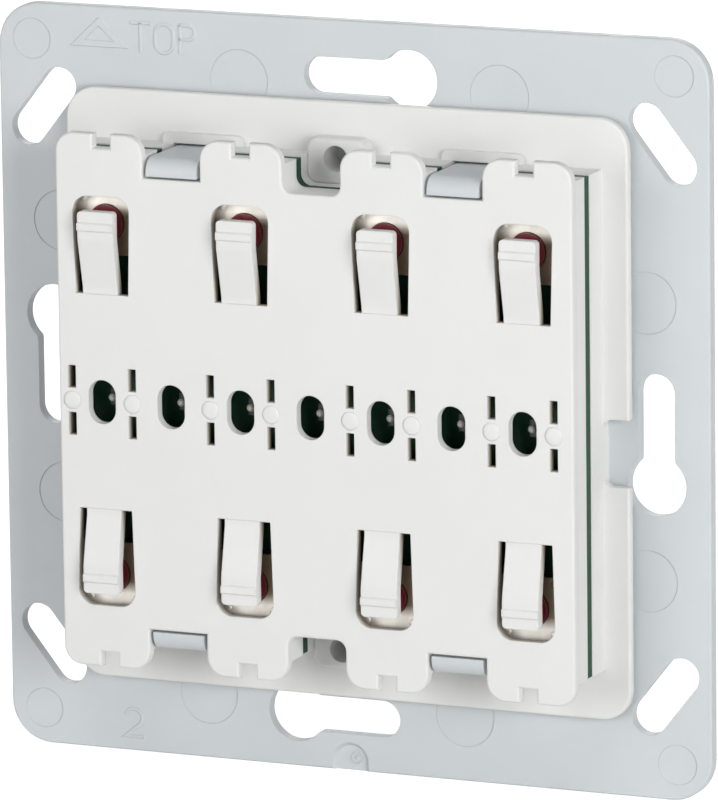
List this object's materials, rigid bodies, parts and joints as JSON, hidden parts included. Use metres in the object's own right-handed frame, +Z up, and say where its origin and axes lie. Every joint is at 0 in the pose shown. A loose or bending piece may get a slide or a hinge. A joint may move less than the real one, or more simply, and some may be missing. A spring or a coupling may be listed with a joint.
{
  "type": "pushbutton switch",
  "caption": "Flat wall pushbutton module: notched mounting plate, clipped base and front cover with sprung tongues that press tact switches; rocker caps clip on in front.",
  "frame": {"origin": "centre of the mounting plate's back face, on the wall", "axes": "+X right, +Z up, front of the module towards -Y, so +Y points into the wall"},
  "size_m": [0.071, 0.0115, 0.071],
  "materials": {
    "grey_plastic": "light grey, fine matt moulded",
    "white_plastic": "white, fine matt moulded",
    "board_green": "dark green solder mask",
    "chip_black": "black moulded",
    "switch_metal": "pale stamped metal",
    "plunger_red": "dark red moulded",
    "spring_steel": "bright strip",
    "tinned_metal": "dull tin",
    "cell_steel": "plain nickel-plated",
    "led_epoxy": "clear milky epoxy",
    "capacitor_brown": "fired ceramic"
  },
  "bodies": {
    "module": {"mounting_plate": "grey_plastic", "base_housing": "white_plastic", "circuit_board": "board_green", "front_cover": "white_plastic", "switch_body_1": "chip_black", "switch_body_2": "chip_black", "switch_body_3": "chip_black", "switch_body_4": "chip_black", "switch_body_5": "chip_black", "switch_body_6": "chip_black", "switch_body_7": "chip_black", "switch_body_8": "chip_black", "switch_metal_1": "switch_metal", "switch_metal_2": "switch_metal", "switch_metal_3": "switch_metal", "switch_metal_4": "switch_metal", "switch_metal_5": "switch_metal", "switch_metal_6": "switch_metal", "switch_metal_7": "switch_metal", "switch_metal_8": "switch_metal", "contact_domes": "spring_steel", "switch_terminals": "tinned_metal", "status_leds": "led_epoxy", "coin_cell": "cell_steel", "battery_clip": "spring_steel", "minus_contact": "tinned_metal", "radio_chip": "chip_black", "crystal": "cell_steel", "capacitors": "capacitor_brown"},
    "tongue_1": {"button_tongue_1": "white_plastic"},
    "plunger_1": {"switch_plunger_1": "plunger_red"},
    "tongue_2": {"button_tongue_2": "white_plastic"},
    "plunger_2": {"switch_plunger_2": "plunger_red"},
    "tongue_3": {"button_tongue_3": "white_plastic"},
    "plunger_3": {"switch_plunger_3": "plunger_red"},
    "tongue_4": {"button_tongue_4": "white_plastic"},
    "plunger_4": {"switch_plunger_4": "plunger_red"},
    "tongue_5": {"button_tongue_5": "white_plastic"},
    "plunger_5": {"switch_plunger_5": "plunger_red"},
    "tongue_6": {"button_tongue_6": "white_plastic"},
    "plunger_6": {"switch_plunger_6": "plunger_red"},
    "tongue_7": {"button_tongue_7": "white_plastic"},
    "plunger_7": {"switch_plunger_7": "plunger_red"},
    "tongue_8": {"button_tongue_8": "white_plastic"},
    "plunger_8": {"switch_plunger_8": "plunger_red"}
  },
  "joints": [
    {"name": "tongue_1_press", "type": "hinge", "parent": "module", "child": "tongue_1", "pos_m": [-0.0213, -0.0093, 0.01015], "axis": [-1, 0, 0], "range_deg": [0, 3], "stiffness_Nm_per_rad": 0.25},
    {"name": "plunger_1_press", "type": "slide", "parent": "module", "child": "plunger_1", "axis": [0, 1, 0], "range_m": [0, 0.00035]},
    {"name": "tongue_2_press", "type": "hinge", "parent": "module", "child": "tongue_2", "pos_m": [-0.0073, -0.0093, 0.01015], "axis": [-1, 0, 0], "range_deg": [0, 3], "stiffness_Nm_per_rad": 0.25},
    {"name": "plunger_2_press", "type": "slide", "parent": "module", "child": "plunger_2", "axis": [0, 1, 0], "range_m": [0, 0.00035]},
    {"name": "tongue_3_press", "type": "hinge", "parent": "module", "child": "tongue_3", "pos_m": [0.0067, -0.0093, 0.01015], "axis": [-1, 0, 0], "range_deg": [0, 3], "stiffness_Nm_per_rad": 0.25},
    {"name": "plunger_3_press", "type": "slide", "parent": "module", "child": "plunger_3", "axis": [0, 1, 0], "range_m": [0, 0.00035]},
    {"name": "tongue_4_press", "type": "hinge", "parent": "module", "child": "tongue_4", "pos_m": [0.0207, -0.0093, 0.01015], "axis": [-1, 0, 0], "range_deg": [0, 3], "stiffness_Nm_per_rad": 0.25},
    {"name": "plunger_4_press", "type": "slide", "parent": "module", "child": "plunger_4", "axis": [0, 1, 0], "range_m": [0, 0.00035]},
    {"name": "tongue_5_press", "type": "hinge", "parent": "module", "child": "tongue_5", "pos_m": [-0.0213, -0.0093, -0.01015], "axis": [1, 0, 0], "range_deg": [0, 3], "stiffness_Nm_per_rad": 0.25},
    {"name": "plunger_5_press", "type": "slide", "parent": "module", "child": "plunger_5", "axis": [0, 1, 0], "range_m": [0, 0.00035]},
    {"name": "tongue_6_press", "type": "hinge", "parent": "module", "child": "tongue_6", "pos_m": [-0.0073, -0.0093, -0.01015], "axis": [1, 0, 0], "range_deg": [0, 3], "stiffness_Nm_per_rad": 0.25},
    {"name": "plunger_6_press", "type": "slide", "parent": "module", "child": "plunger_6", "axis": [0, 1, 0], "range_m": [0, 0.00035]},
    {"name": "tongue_7_press", "type": "hinge", "parent": "module", "child": "tongue_7", "pos_m": [0.0067, -0.0093, -0.01015], "axis": [1, 0, 0], "range_deg": [0, 3], "stiffness_Nm_per_rad": 0.25},
    {"name": "plunger_7_press", "type": "slide", "parent": "module", "child": "plunger_7", "axis": [0, 1, 0], "range_m": [0, 0.00035]},
    {"name": "tongue_8_press", "type": "hinge", "parent": "module", "child": "tongue_8", "pos_m": [0.0207, -0.0093, -0.01015], "axis": [1, 0, 0], "range_deg": [0, 3], "stiffness_Nm_per_rad": 0.25},
    {"name": "plunger_8_press", "type": "slide", "parent": "module", "child": "plunger_8", "axis": [0, 1, 0], "range_m": [0, 0.00035]}
  ],
  "couplings": [
    {"joint": "plunger_1_press", "follows": "tongue_1_press", "m_per_rad": 0.00645},
    {"joint": "plunger_2_press", "follows": "tongue_2_press", "m_per_rad": 0.00645},
    {"joint": "plunger_3_press", "follows": "tongue_3_press", "m_per_rad": 0.00645},
    {"joint": "plunger_4_press", "follows": "tongue_4_press", "m_per_rad": 0.00645},
    {"joint": "plunger_5_press", "follows": "tongue_5_press", "m_per_rad": 0.00645},
    {"joint": "plunger_6_press", "follows": "tongue_6_press", "m_per_rad": 0.00645},
    {"joint": "plunger_7_press", "follows": "tongue_7_press", "m_per_rad": 0.00645},
    {"joint": "plunger_8_press", "follows": "tongue_8_press", "m_per_rad": 0.00645}
  ]
}
